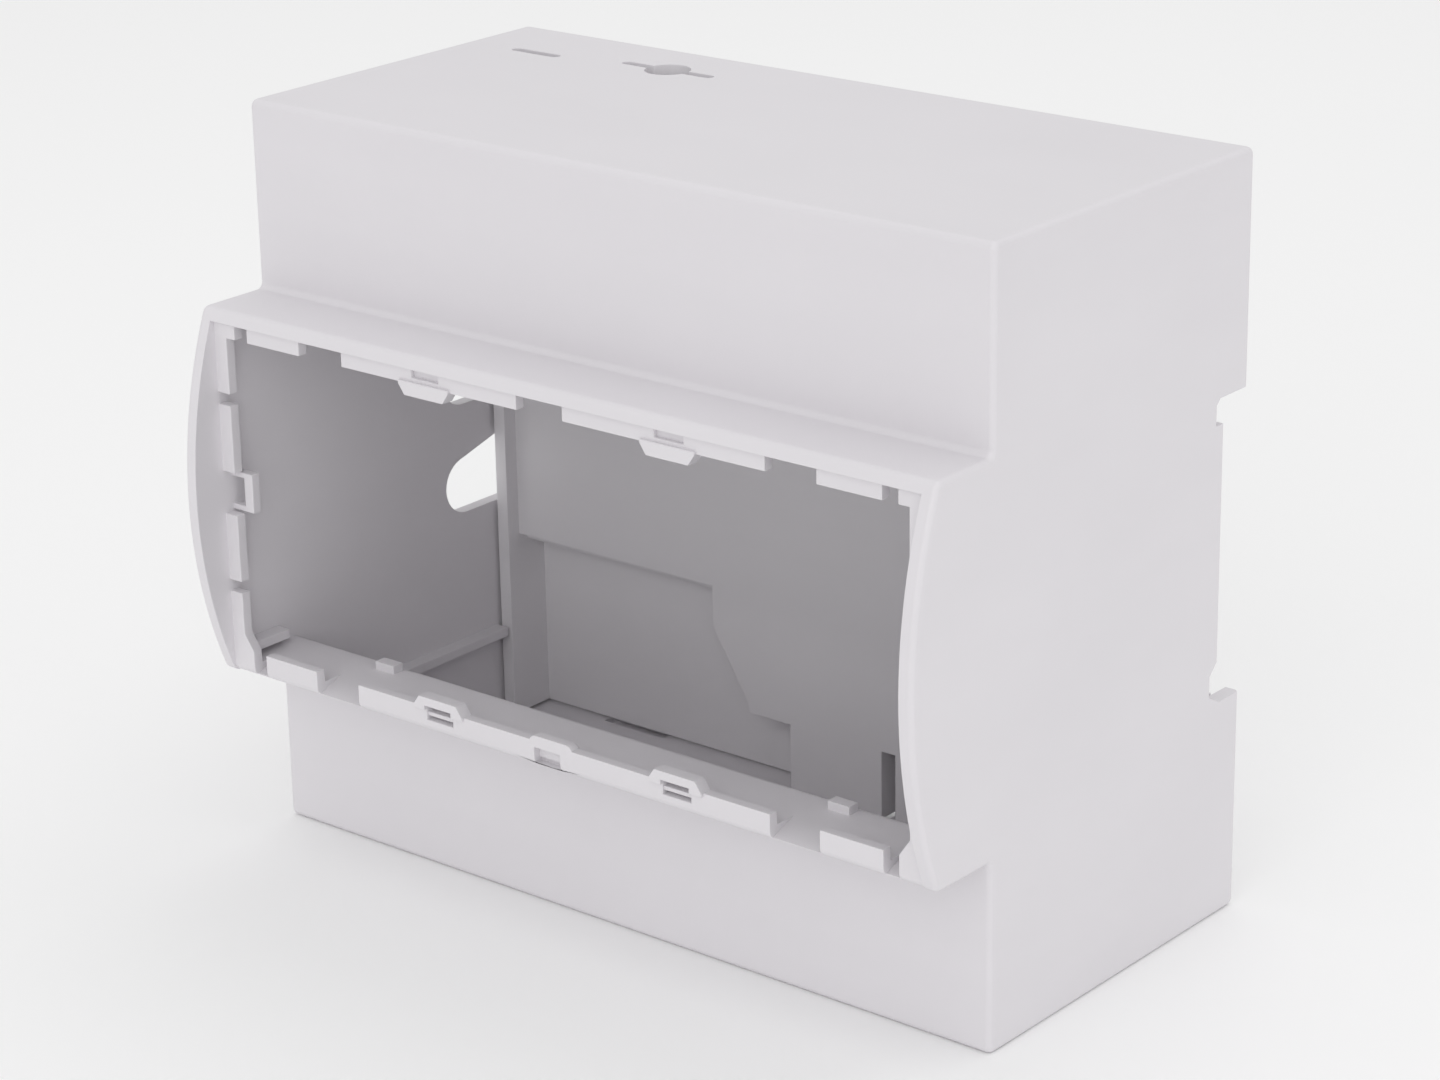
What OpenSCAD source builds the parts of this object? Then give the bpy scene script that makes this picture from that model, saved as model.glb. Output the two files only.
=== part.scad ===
// Modular electronics enclosure for a 35 mm mounting rail, with its front panel left off.
// Millimetres. X runs across the modules, +Y points to the rail behind, +Z is up.
// The origin lies under the middle of the enclosure, on the surface it stands on.

/* [Housing] */
// Width of the housing, a whole number of rail modules
body_w = 105.6; // [88:17.6:158.4]
// Width of one rail module
module_w = 17.6; // [17:0.1:18.2]
// Height of the housing
body_h = 90; // [86:1:100]
// Depth of the block behind the nose
body_d = 48.2; // [42:0.1:60]
// Thickness of the housing's walls
wall = 1.8; // [1.5:0.1:2.4]
// Rounding of the housing's outer edges
edge_r = 0.7; // [0.4:0.1:1.4]

/* [Nose] */
// Height of the nose that reaches through a panel cut-out
nose_h = 45; // [40:0.5:46]
// Reach of the nose's upper and lower lips ahead of the block
nose_d = 9.3; // [8:0.1:14]
// Further reach of the curved cheeks at mid-height
nose_bulge = 4.5; // [2.5:0.1:6]
// Thickness of the nose's top and bottom
nose_wall = 1.5; // [1.2:0.1:2]
// Rounding of the nose's front corners
nose_r = 1; // [0.6:0.1:2]
// Fillet where the nose leaves the block
step_r = 0.8; // [0.4:0.1:1.5]
// Rounding of the inner edge between the nose and the block
step_in_r = 1.8; // [0.5:0.1:2.5]

/* [Panel seat] */
// Thickness of the ledge that a front panel rests on
ledge_t = 1.3; // [1:0.1:2]
// How far the upper ledge hangs down
ledge_top = 1.9; // [1.5:0.1:3]
// How far the lower ledge stands up
ledge_bottom = 1.6; // [1:0.1:3]
// How far the side ledges stand in
ledge_side = 1.9; // [1.2:0.1:3]
// Width of the gap near the middle of the ledges
mid_gap_w = 6.6; // [4:0.1:10]
// Offset of that gap from the middle
mid_gap_x = -0.7; // [-3:0.1:3]
// Width of the outer gaps in the ledges
outer_gap_w = 6.7; // [4:0.1:10]
// Distance from the side of the housing to the middle of each outer gap
outer_gap_in = 18.9; // [16:0.1:24]
// Width of a snap tab at its root
tab_w = 7.6; // [6:0.1:10]
// How far a snap tab stands beyond its ledge
tab_rise = 1.3; // [0.8:0.1:1.5]
// How far a snap tab stands ahead of its ledge
tab_proud = 0.4; // [0.2:0.1:1]
// Width of the window or recess in a snap tab
tab_window_w = 4; // [2:0.1:4.5]
// Height of the shallow recess in an upper snap tab
tab_recess_h = 1.1; // [0.4:0.1:1.4]
// Depth of that recess
tab_recess_d = 0.5; // [0.3:0.1:0.9]
// Height of the window in a lower snap tab
tab_window_low = 1.8; // [0.8:0.1:2]
// Width of the slit beside each corner
slit_w = 2; // [1:0.1:3]
// Distance from the side ledge to the slit
slit_in = 1.4; // [1:0.1:4]
// Distance of the side notches above and below mid-height
notch_rise = 11.6; // [8:0.1:14]
// Height of the side notches
notch_h = 1.4; // [0.8:0.1:3]
// Height of the gap in each side ledge that shows a loop
loop_gap = 5.2; // [4:0.1:8]
// How far the side loops stand in from the walls
loop_in = 3.4; // [3:0.1:4]
// Thickness of a side loop's inner bar
loop_bar = 1.4; // [1:0.1:1.6]
// Depth of the side loops behind the ledges
loop_d = 1.2; // [0.8:0.1:2]
// Height of the arch in the gap of the lower ledge
arch_h = 2.2; // [1.8:0.1:3]
// Width of the slot in the lower lip under the arch
arch_slot_w = 3.8; // [2:0.1:4.8]
// Height of that slot
arch_slot_h = 0.8; // [0.4:0.1:1]
// Height of the arch's shallow hollow above the nose's floor
arch_hollow_h = 0.7; // [0.3:0.1:1]
// Depth of that hollow
arch_hollow_d = 0.6; // [0.3:0.1:0.9]
// Depth of the recesses in the lower lip under the gaps and slits
recess_d = 0.4; // [0.2:0.1:0.8]
// Height of the gussets in the lower corners
gusset_h = 2.6; // [1:0.1:4]

/* [Openings] */
// Width of the two slots in the top
top_slot_w = 1.3; // [0.8:0.1:2]
// Length of the short slot
short_slot_l = 7.4; // [4:0.1:10]
// Distance of the short slot's middle from the left side
short_slot_x = 11.1; // [8:0.1:14]
// Distance of the short slot from the rear
short_slot_y = 11; // [6:0.1:16]
// Length of the long slot
long_slot_l = 13.8; // [10:0.1:20]
// Distance of the long slot's middle from the left side
long_slot_x = 30; // [24:0.1:40]
// Distance of the long slot from the rear
long_slot_y = 8.8; // [6:0.1:16]
// Diameter of the round hole in the middle of the long slot
slot_hole = 5.5; // [3:0.1:7]
// Height of the holes in the left wall
side_hole_h = 7.2; // [5:0.1:9]
// Length of the holes in the left wall
side_hole_l = 11.5; // [9:0.1:16]
// Distance from the rear to the front end of those holes
side_hole_y = 20.2; // [18:0.1:26]
// Slope of those holes' upper edges, in degrees
side_hole_slope = 15; // [0:1:20]
// Distance of the lower hole's middle below mid-height
side_hole_drop = 10.4; // [8:0.1:14]
// Distance between the two holes' middles
side_hole_pitch = 14.2; // [12:0.1:20]

/* [Ribs inside] */
// Thickness of the ribs on the side walls
rib_t = 1.2; // [1:0.1:2]
// How far those ribs stand in
rib_in = 1.9; // [1.2:0.1:3]
// Height of the long ribs
rib_z = 13.7; // [8:0.1:18]
// Height of the short ribs above the nose's floor
short_rib_rise = 1.4; // [1:0.1:4]
// Length of the short ribs
short_rib_l = 6; // [4:0.1:7.5]
// Width of the stops at the rear of the nose's floor
stop_w = 3; // [2:0.1:5]
// Height of the stops
stop_h = 1; // [0.6:0.1:2]
// Depth of the stops
stop_d = 1.6; // [1:0.1:3]
// Distance of the stops from the sides
stop_in = 19; // [14:0.1:24]

/* [Rail] */
// Width of the mounting rail
rail_w = 35; // [35:0.1:35.6]
// Thickness of the rail's edges
rail_t = 1; // [0.8:0.1:1.5]
// Room above the rail's upper edge
rail_fit_top = 0.3; // [0.1:0.1:0.8]
// Room below the rail's lower edge
rail_fit_bottom = 0.9; // [0.5:0.1:1.5]
// Distance from the rear to the face that the rail seats on
seat_d = 4.9; // [4.5:0.1:6]
// Depth of the relief beside the seat, at the rail's edges
relief_d = 1.4; // [0.8:0.1:2]
// Height of the relief at the rail's upper edge
relief_top = 3; // [2:0.1:4]
// Height of the relief at the rail's lower edge
relief_bottom = 3.6; // [2:0.1:4]
// Depth of the ramp at the foot of the lower relief
ramp_d = 2; // [1:0.1:2.4]
// Height of that ramp
ramp_h = 1.1; // [0.5:0.1:1.4]
// Size of the chamfer at the head of the upper relief
ramp_top = 0.7; // [0.3:0.1:1]

/* [Base] */
// Clearance between the base and the housing
base_fit = 0.4; // [0.2:0.1:0.8]
// Thickness of the base's plate
plate_t = 2.4; // [1.8:0.1:3]
// Distance from the rear to the plate
plate_back = 2.5; // [1.5:0.1:2.8]
// Thickness of the side flanges
flange_t = 1.8; // [1.5:0.1:3]
// Distance from the rear to the flanges' front edges
flange_d = 11.5; // [10.5:0.1:14]
// Thickness of the walls of the rail channel and the latch guide
channel_wall = 1.2; // [1.1:0.1:1.8]
// Thickness of the channel's floor
channel_floor = 2.3; // [1.6:0.1:2.8]
// Distance from the rear to the front of the channel's floor
channel_d = 9.5; // [9.2:0.1:10.4]
// Thickness of the ribs that the rail seats on
seat_rib_t = 1.6; // [1.2:0.1:3]
// Width of the fixed hooks over the rail's upper edge
hook_w = 14; // [8:0.5:20]
// Distance of each fixed hook from the middle
hook_x = 30; // [26:0.5:36]
// How far the fixed hooks reach down over the rail's edge
hook_reach = 1.6; // [1:0.1:2.5]
// Thickness of the fixed hooks
hook_t = 1.6; // [1.2:0.1:2]
// Width of the snap lugs that hold the base in the housing
lug_w = 9; // [6:0.5:14]
// How far the snap lugs stand into the housing's walls
lug_h = 0.9; // [0.6:0.1:1]
// Distance of each snap lug from the middle
lug_x = 34; // [30:0.5:40]

/* [Latch] */
// Offset of the latch from the middle
latch_x = 2; // [-6:0.5:6]
// Width of the latch's stem
stem_w = 11; // [9:0.1:14]
// Width of the latch's neck, which runs between the base's lips
neck_w = 7; // [5:0.1:7.5]
// Clearance on each side of the latch
latch_fit = 0.3; // [0.2:0.1:0.5]
// Travel of the latch from locked to open
latch_travel = 2.6; // [2.4:0.1:2.8]
// How far the locked latch reaches over the rail's lower edge
latch_reach = 1.8; // [1.4:0.1:2]
// Height of the opened latch above the surface that the enclosure stands on
latch_room = 0.5; // [0.2:0.1:1]
// Distance from the rear to the latch's back
latch_in = 1.2; // [0.6:0.1:1.6]
// Thickness of the latch's spring arms
arm_t = 1.1; // [0.8:0.1:1.5]
// Width of the guide box at its upper end
guide_top_w = 38; // [34:0.5:42]
// Width of the guide box at its lower end
guide_low_w = 27; // [25:0.5:30]
// Height of the guide box's lower edge, beside the tongue
guide_z = 11; // [10:0.1:12]
// Height over which the guide box tapers
guide_taper = 9; // [6:0.5:11]
// Width of the groove between the guide's tongue and its leg
guide_groove = 2; // [1.5:0.1:3]

/* [Hidden] */
$fn = 48;
// Overlap that joins pieces of one moulding
bite = 0.4;
// Overshoot of a cut past the face it opens
past = 1;

module_count = round(body_w / module_w);
half_w = body_w / 2;
total_d = body_d + nose_d + nose_bulge;
rear_y = total_d / 2;
face_y = rear_y - body_d;
lip_y = face_y - nose_d;
tip_y = lip_y - nose_bulge;
mid_z = body_h / 2;
inner_x = half_w - wall;
inner_y = face_y + wall;
ceiling = body_h - wall;

// The cheeks' front edge is an arc through the lips' corners and the foremost point
nose_lo = mid_z - nose_h / 2;
nose_hi = mid_z + nose_h / 2;
arc_r = (pow(nose_h / 2, 2) + pow(nose_bulge, 2)) / (2 * nose_bulge);
arc_y = tip_y + arc_r;
shelf = nose_lo + nose_wall;
soffit = nose_hi - nose_wall;
// Centre of the rounding at the nose's upper front corner, above mid-height
corner_z = nose_h / 2 - nose_r;
corner_y = arc_y - sqrt(pow(arc_r - nose_r, 2) - pow(corner_z, 2));

ledge_back_y = lip_y + ledge_t;
arch_slot_x = mid_gap_x - mid_gap_w / 2 + 2 * bite;
tab_x = module_w;
tab_lead = 0.9;
outer_gap_x = half_w - outer_gap_in;
slit_x = inner_x - ledge_side - slit_in;
loop_t = 0.7;
catch_t = 0.5;
catch_in = 0.3;
loop_play = 0.2;

rail_lo = mid_z - rail_w / 2;
rail_hi = mid_z + rail_w / 2;
channel_lo = rail_lo - rail_fit_bottom;
channel_hi = rail_hi + rail_fit_top;
seat_y = rear_y - seat_d;
relief_y = seat_y - relief_d;
seat_lo = channel_lo + relief_bottom + relief_d;
seat_hi = channel_hi - relief_top;
// Front of whatever grips the rail's edges from behind
grip_play = 0.2;
grip_y = seat_y + rail_t + grip_play;
grip_lead = 0.4;

base_x = inner_x - base_fit;
base_lo = wall + base_fit;
base_hi = ceiling - base_fit;
plate_out = rear_y - plate_back;
plate_in = plate_out - plate_t;
flange_y = rear_y - flange_d;
channel_y = rear_y - channel_d;
floor_out = channel_y + channel_floor;
// The channel's floor ends above the walls that join it to the plate
floor_lap = 0.2;
wall_bite = 0.8;

// The latch has a wide stem inside the guide and a narrow neck between the lips behind it
guide_in = channel_y + channel_wall;
stem_y = guide_in + latch_fit;
stem_back = plate_in - latch_fit;
latch_back = rear_y - latch_in;
stem_half = stem_w / 2;
neck_half = neck_w / 2;
track_half = stem_half + latch_fit;
tongue_half = track_half + channel_wall;
latch_low = latch_travel + latch_room;
latch_top = rail_lo + latch_reach;
// The lips end below the hook, with room for the latch's travel
lip_h = 2;
pull_rim = 1.3;
pull_h = 2.6;
grip_low = channel_lo - channel_wall;
lips_hi = grip_low - latch_travel - latch_fit;
pocket_half = guide_low_w / 2 - channel_wall;
pocket_lo = guide_z + channel_wall;
pocket_hi = lips_hi - lip_h;
arm_tip_z = pocket_lo + latch_travel + latch_fit;
arm_root_z = pocket_hi - arm_t - lip_h / 2;

// A block from its lowest to its highest corner
module block(low, high) {
    translate(low) cube(high - low);
}

// A rectangle from corner to corner with round corners
module round_rect(low, high, r) {
    translate([low[0] + r, low[1]]) square([high[0] - low[0] - 2 * r, high[1] - low[1]]);
    translate([low[0], low[1] + r]) square([high[0] - low[0], high[1] - low[1] - 2 * r]);
    for (x = [low[0] + r, high[0] - r], y = [low[1] + r, high[1] - r]) {
        translate([x, y]) circle(r);
    }
}

// Extrudes an outline drawn in Y and Z
module along_x(from, to) {
    translate([from, 0, 0]) rotate([90, 0, 90]) linear_extrude(to - from) children();
}

// Extrudes an outline drawn in X and Z
module along_y(from, to) {
    translate([0, to, 0]) rotate([90, 0, 0]) linear_extrude(to - from) children();
}

// Extrudes an outline drawn in X and Y
module along_z(from, to) {
    translate([0, 0, from]) linear_extrude(to - from) children();
}

// The children and their mirror image on the other side
module both_sides() {
    children();
    mirror([1, 0, 0]) children();
}

// What is left of a square corner outside a round one, with the corner at the origin
module fillet(r) {
    difference() {
        translate([-bite, -bite]) square(r + bite);
        translate([r, r]) circle(r);
    }
}

module block_form() {
    intersection() {
        along_x(-half_w, half_w) round_rect([face_y, 0], [rear_y, body_h], edge_r);
        along_y(face_y, rear_y) round_rect([-half_w, 0], [half_w, body_h], edge_r);
        along_z(0, body_h) round_rect([-half_w, face_y], [half_w, rear_y], edge_r);
    }
}

// The sharp corner that the rounding of the nose takes away, above mid-height
module nose_corner() {
    reach = 2 * nose_r;
    lean = [corner_y - arc_y, corner_z] / (arc_r - nose_r);
    difference() {
        polygon([
            [corner_y, corner_z],
            [corner_y, corner_z + reach],
            [corner_y - reach, corner_z + reach],
            [corner_y + reach * lean[0], corner_z + reach * lean[1]]
        ]);
        translate([corner_y, corner_z]) circle(nose_r);
    }
}

// The nose's lips in a side view, before the disc rounds its front
module nose_outline() {
    translate([0, mid_z]) difference() {
        translate([tip_y - past, -nose_h / 2]) square([inner_y - tip_y + past, nose_h]);
        nose_corner();
        mirror([0, 1]) nose_corner();
    }
}

// A wide disc with a round rim, whose front is the cheeks' curve
module cheek_disc() {
    translate([0, arc_y, mid_z]) rotate([0, 90, 0]) rotate_extrude() {
        intersection() {
            round_rect([-arc_r, -half_w], [arc_r, half_w], edge_r);
            translate([0, -half_w]) square([arc_r, body_w]);
        }
    }
}

module nose_form() {
    intersection() {
        along_x(-half_w, half_w) nose_outline();
        along_y(tip_y, inner_y) round_rect([-half_w, nose_lo], [half_w, nose_hi], edge_r);
        cheek_disc();
    }
    step_fillets();
}

// Fillets between the nose and the block, which run out round the side edges
module step_fillets() {
    r = step_r + edge_r;
    low = nose_lo - step_r;
    high = nose_hi + step_r;
    intersection() {
        along_x(-half_w, half_w) {
            translate([face_y, nose_hi]) mirror([1, 0]) fillet(step_r);
            translate([face_y, nose_lo]) mirror([1, 0]) mirror([0, 1]) fillet(step_r);
        }
        along_y(face_y - step_r, inner_y) round_rect([-half_w, low], [half_w, high], r);
        along_z(low, high) round_rect([-half_w, face_y - step_r], [half_w, rear_y], r);
    }
}

// Room ahead of the lower lip, which ends level with the panel's ledge between the cheeks
module lip_room() {
    translate([tip_y - past, nose_lo - past]) square([nose_bulge + past, shelf - nose_lo + 2 * past]);
    translate([lip_y, nose_lo]) fillet(nose_r);
}

// Room inside the nose, with the edge towards the block rounded
module nose_room() {
    translate([tip_y - past, shelf]) square([inner_y + past - tip_y + past, soffit - shelf]);
    translate([inner_y, shelf]) mirror([1, 0]) mirror([0, 1]) fillet(step_in_r);
    translate([inner_y, soffit]) mirror([1, 0]) fillet(step_in_r);
}

// The rail's seat in a side view, open to the rear
module rail_notch() {
    polygon([
        [rear_y + past, channel_lo],
        [relief_y + ramp_d, channel_lo],
        [relief_y, channel_lo + ramp_h],
        [relief_y, channel_lo + relief_bottom],
        [seat_y, seat_lo],
        [seat_y, seat_hi],
        [relief_y, seat_hi],
        [relief_y, channel_hi - ramp_top],
        [relief_y + ramp_top, channel_hi],
        [rear_y + past, channel_hi]
    ]);
}

// A slot with round ends, its middle at the origin
module slot(length, width) {
    straight = length - width;
    translate([-straight / 2, -width / 2]) square([straight, width]);
    for (end = [-1, 1]) {
        translate([end * straight / 2, 0]) circle(width / 2);
    }
}

module top_openings() {
    along_z(ceiling - past, body_h + past) {
        translate([short_slot_x - half_w, rear_y - short_slot_y]) slot(short_slot_l, top_slot_w);
        translate([long_slot_x - half_w, rear_y - long_slot_y]) {
            slot(long_slot_l, top_slot_w);
            circle(d = slot_hole);
        }
    }
}

module side_openings() {
    along_x(-half_w - past, past - inner_x) {
        for (rise = [-side_hole_drop, side_hole_pitch - side_hole_drop]) {
            translate([rear_y - side_hole_y, mid_z + rise]) side_hole();
        }
    }
}

// A hole in Y and Z with a round front end, an upper edge that rises to the rear and a flat lower edge
module side_hole() {
    r = side_hole_h / 2;
    touch = [r - r * sin(side_hole_slope), r * cos(side_hole_slope)];
    translate([r, 0]) circle(r);
    polygon([
        touch,
        [r, -r],
        [side_hole_l, -r],
        [side_hole_l, touch[1] + (side_hole_l - touch[0]) * tan(side_hole_slope)]
    ]);
}

// Pockets in the top and bottom that take the base's snap lugs
module lug_pockets() {
    room = lug_w / 2 + base_fit;
    both_sides() {
        for (z = [base_lo - lug_h - base_fit, base_hi]) {
            block(
                [lug_x - room, plate_in - base_fit, z],
                [lug_x + room, plate_out + base_fit, z + lug_h + base_fit]
            );
        }
    }
}

// A snap tab in X and Z, with its root at the origin
module tab_outline() {
    half = tab_w / 2;
    polygon([
        [-half, -bite],
        [half, -bite],
        [half, 0],
        [half - tab_lead, tab_rise],
        [tab_lead - half, tab_rise],
        [-half, 0]
    ]);
}

// The ledge round the front opening that a front panel rests on
module panel_ledge() {
    top_edge = soffit - ledge_top;
    low_edge = shelf + ledge_bottom;
    difference() {
        union() {
            block([-inner_x - bite, lip_y, top_edge], [inner_x + bite, ledge_back_y, soffit + bite]);
            block([-inner_x - bite, lip_y, shelf - bite], [inner_x + bite, ledge_back_y, low_edge]);
            both_sides() {
                block([inner_x - ledge_side, lip_y, shelf], [inner_x + bite, ledge_back_y, soffit]);
                along_y(lip_y - tab_proud, ledge_back_y) {
                    translate([tab_x, low_edge]) tab_outline();
                    translate([tab_x, top_edge]) mirror([0, 1]) tab_outline();
                }
            }
        }
        ledge_gaps();
    }
    both_sides() {
        tab_catch();
        side_loop();
        corner_gusset();
    }
    ledge_arch();
}

// Gaps, slits, notches and windows in the ledge
module ledge_gaps() {
    front = lip_y - past;
    back = ledge_back_y + past;
    high = [shelf, soffit - ledge_top - past];
    tall = [ledge_bottom + past, ledge_top + past];
    for (run = [0, 1]) {
        translate([0, 0, high[run]]) {
            block([mid_gap_x - mid_gap_w / 2, front, 0], [mid_gap_x + mid_gap_w / 2, back, tall[run]]);
            both_sides() {
                block(
                    [outer_gap_x - outer_gap_w / 2, front, 0],
                    [outer_gap_x + outer_gap_w / 2, back, tall[run]]
                );
                block([slit_x - slit_w, front, 0], [slit_x, back, tall[run]]);
            }
        }
    }
    both_sides() {
        for (z = [mid_z - notch_rise, mid_z + notch_rise]) {
            block([inner_x - ledge_side - past, front, z - notch_h / 2], [inner_x, back, z + notch_h / 2]);
        }
        block(
            [inner_x - ledge_side - past, front, mid_z - loop_gap / 2],
            [inner_x, back, mid_z + loop_gap / 2]
        );
        translate([tab_x - tab_window_w / 2, 0, 0]) {
            block([0, front, shelf], [tab_window_w, back, shelf + tab_window_low]);
            block([0, front, soffit - tab_recess_h], [tab_window_w, lip_y + tab_recess_d, soffit]);
        }
    }
}

// A bar across the window of a lower snap tab, which a panel's hook catches
module tab_catch() {
    half = tab_window_w / 2 + bite;
    low = shelf + tab_window_low / 2 - catch_t;
    block([tab_x - half, lip_y + catch_in, low], [tab_x + half, ledge_back_y, low + catch_t]);
}

// A loop on the side wall, behind the gap in the middle of the side ledge
module side_loop() {
    half = loop_gap / 2 - loop_play;
    low = [inner_x - loop_in, ledge_back_y, mid_z - half];
    high = [inner_x + bite, ledge_back_y + loop_d, mid_z + half];
    difference() {
        block(low, high);
        block(low + [loop_bar, -past, loop_t], [inner_x, high[1] + past, high[2] - loop_t]);
    }
}

// A gusset between the side ledge and the lower ledge
module corner_gusset() {
    side_x = inner_x - ledge_side + bite;
    foot = shelf + ledge_bottom;
    along_y(lip_y, ledge_back_y) polygon([
        [side_x, foot - bite],
        [slit_x, foot - bite],
        [slit_x, foot],
        [side_x, foot + gusset_h]
    ]);
}

// A round-topped bar with a shallow hollow, in the gap near the middle of the lower ledge
module ledge_arch() {
    half = mid_gap_w / 2;
    difference() {
        translate([mid_gap_x, 0, shelf]) along_y(lip_y, ledge_back_y + tab_proud) difference() {
            round_rect([-half, -arch_h], [half, arch_h], arch_h / 2);
            translate([-half - past, -arch_h - past]) square([mid_gap_w + 2 * past, arch_h + past - bite]);
        }
        arch_hollow();
    }
}

// The arch's hollow, which goes on down through the front of the lower lip
module arch_hollow() {
    block(
        [arch_slot_x, lip_y - past, nose_lo - past],
        [arch_slot_x + arch_slot_w, lip_y + arch_hollow_d, shelf + arch_hollow_h]
    );
}

// Shallow recesses in the lower lip under the gaps and slits, and the slot under the arch
module lip_recesses() {
    front = lip_y - past;
    low = nose_lo - past;
    both_sides() {
        block(
            [outer_gap_x - outer_gap_w / 2, front, low],
            [outer_gap_x + outer_gap_w / 2, lip_y + recess_d, shelf + past]
        );
        block([slit_x - slit_w, front, low], [slit_x, lip_y + recess_d, shelf + past]);
    }
    block([arch_slot_x, front, low], [arch_slot_x + arch_slot_w, ledge_back_y, nose_lo + arch_slot_h]);
    arch_hollow();
}

// Ribs on the side walls and stops at the rear of the nose's floor
module inner_ribs() {
    short_z = shelf + short_rib_rise;
    stop_y = inner_y - step_in_r - stop_d;
    both_sides() {
        block(
            [inner_x - rib_in, face_y, rib_z - rib_t / 2],
            [inner_x + bite, flange_y - base_fit, rib_z + rib_t / 2]
        );
        block(
            [inner_x - rib_in, ledge_back_y - bite, short_z - rib_t / 2],
            [inner_x + bite, ledge_back_y + short_rib_l, short_z + rib_t / 2]
        );
        translate([half_w - stop_in, 0, 0]) {
            block([-stop_w / 2, stop_y, shelf - bite], [stop_w / 2, stop_y + stop_d, shelf + stop_h]);
        }
    }
}

// Room in the bottom for a screwdriver that pulls the latch
module latch_access() {
    translate([latch_x, 0, 0]) {
        block([-tongue_half, channel_y, -past], [tongue_half, rear_y + past, wall + past]);
    }
}

// The one-piece moulded shell
module housing() {
    color([0.86, 0.85, 0.86]) {
        difference() {
            union() {
                block_form();
                nose_form();
            }
            block([-inner_x, inner_y, wall], [inner_x, rear_y + past, ceiling]);
            along_x(-inner_x, inner_x) {
                lip_room();
                nose_room();
            }
            lip_recesses();
            along_x(-half_w - past, half_w + past) rail_notch();
            top_openings();
            side_openings();
            lug_pockets();
            latch_access();
        }
        panel_ledge();
        inner_ribs();
    }
}

// The front of the latch guide in X and Z: a tapered box with a tongue and one leg below it
module guide_outline() {
    top_half = guide_top_w / 2;
    low_half = guide_low_w / 2;
    leg_in = tongue_half + guide_groove;
    taper_lo = guide_z + channel_wall;
    polygon([
        [-top_half, channel_lo],
        [-top_half, taper_lo + guide_taper],
        [-low_half, taper_lo],
        [-low_half, guide_z],
        [-tongue_half, guide_z],
        [-tongue_half, base_lo],
        [tongue_half, base_lo],
        [tongue_half, guide_z],
        [leg_in, guide_z],
        [leg_in, base_lo],
        [low_half, base_lo],
        [low_half, taper_lo],
        [top_half, taper_lo + guide_taper],
        [top_half, channel_lo]
    ]);
}

// Room for the latch inside its guide, with the latch's middle at the origin
module guide_room() {
    slot_half = neck_half + latch_fit;
    open_y = plate_out + past;
    // Track of the stem, open at both ends
    block([-track_half, guide_in, base_lo - past], [track_half, plate_in, channel_lo + bite]);
    // Slot of the neck between the lips
    block([-slot_half, guide_in, base_lo - past], [slot_half, open_y, channel_lo]);
    // Pocket of the spring arms, open to the rear
    block([-pocket_half, guide_in, pocket_lo], [pocket_half, open_y, pocket_hi]);
    // Way of the hook above the lips
    block([-track_half, guide_in, lips_hi], [track_half, open_y, channel_lo + bite]);
}

// Ribs that the rail seats on, from side to side of the channel
module seat_ribs() {
    steps = 2 * module_count;
    pitch = (2 * base_x - seat_rib_t) / steps;
    for (k = [0 : steps]) {
        translate([k * pitch - base_x, 0, 0]) {
            block([0, floor_out - bite, seat_lo], [seat_rib_t, seat_y, seat_hi]);
        }
    }
}

// A fixed hook over the rail's upper edge, with a slanted lead-in
module rail_hook() {
    tip = rail_hi - hook_reach;
    back = grip_y + hook_t;
    along_x(hook_x - hook_w / 2, hook_x + hook_w / 2) polygon([
        [grip_y, channel_hi + bite],
        [grip_y, tip + grip_lead],
        [grip_y + grip_lead, tip],
        [back - grip_lead, tip + grip_lead],
        [back, channel_hi + bite]
    ]);
}

// A wedge on the plate's upper edge that snaps into the housing
module snap_lug() {
    along_x(lug_x - lug_w / 2, lug_x + lug_w / 2) polygon([
        [plate_in, base_hi - bite],
        [plate_out, base_hi - bite],
        [plate_out, base_hi + lug_h],
        [plate_out - plate_t / 2, base_hi + lug_h],
        [plate_in, base_hi]
    ]);
}

// Plate, side flanges, rail channel and latch guide before they are hollowed
module base_form() {
    block([-base_x, plate_in, base_lo], [base_x, plate_out, base_hi]);
    both_sides() {
        block([base_x - flange_t, flange_y, base_lo], [base_x, plate_in + bite, base_hi]);
    }
    block([-base_x, channel_y, channel_lo - floor_lap], [base_x, floor_out, channel_hi + floor_lap]);
    block(
        [-base_x, floor_out - wall_bite, channel_lo - channel_wall],
        [base_x, plate_out, channel_hi + channel_wall]
    );
    translate([latch_x, 0, 0]) along_y(channel_y, plate_in + bite) guide_outline();
}

// The moulded plate that closes the rear and carries the rail channel
module base() {
    color([0.83, 0.83, 0.84]) {
        difference() {
            base_form();
            block([-half_w, floor_out, channel_lo], [half_w, rear_y + past, channel_hi]);
            translate([latch_x, 0, 0]) guide_room();
        }
        seat_ribs();
        both_sides() {
            rail_hook();
            snap_lug();
            translate([0, 0, base_lo + base_hi]) mirror([0, 0, 1]) snap_lug();
        }
    }
}

// A spring arm in X and Z, which leans out and down to a round tip
module arm_outline() {
    root_x = stem_half - bite;
    tip_x = pocket_half - latch_fit - arm_t / 2;
    tip_z = arm_tip_z + arm_t / 2;
    polygon([
        [root_x, arm_root_z],
        [tip_x, tip_z - arm_t / 2],
        [tip_x, tip_z + arm_t / 2],
        [root_x, arm_root_z + arm_t]
    ]);
    translate([tip_x, tip_z]) circle(arm_t / 2);
}

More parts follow.
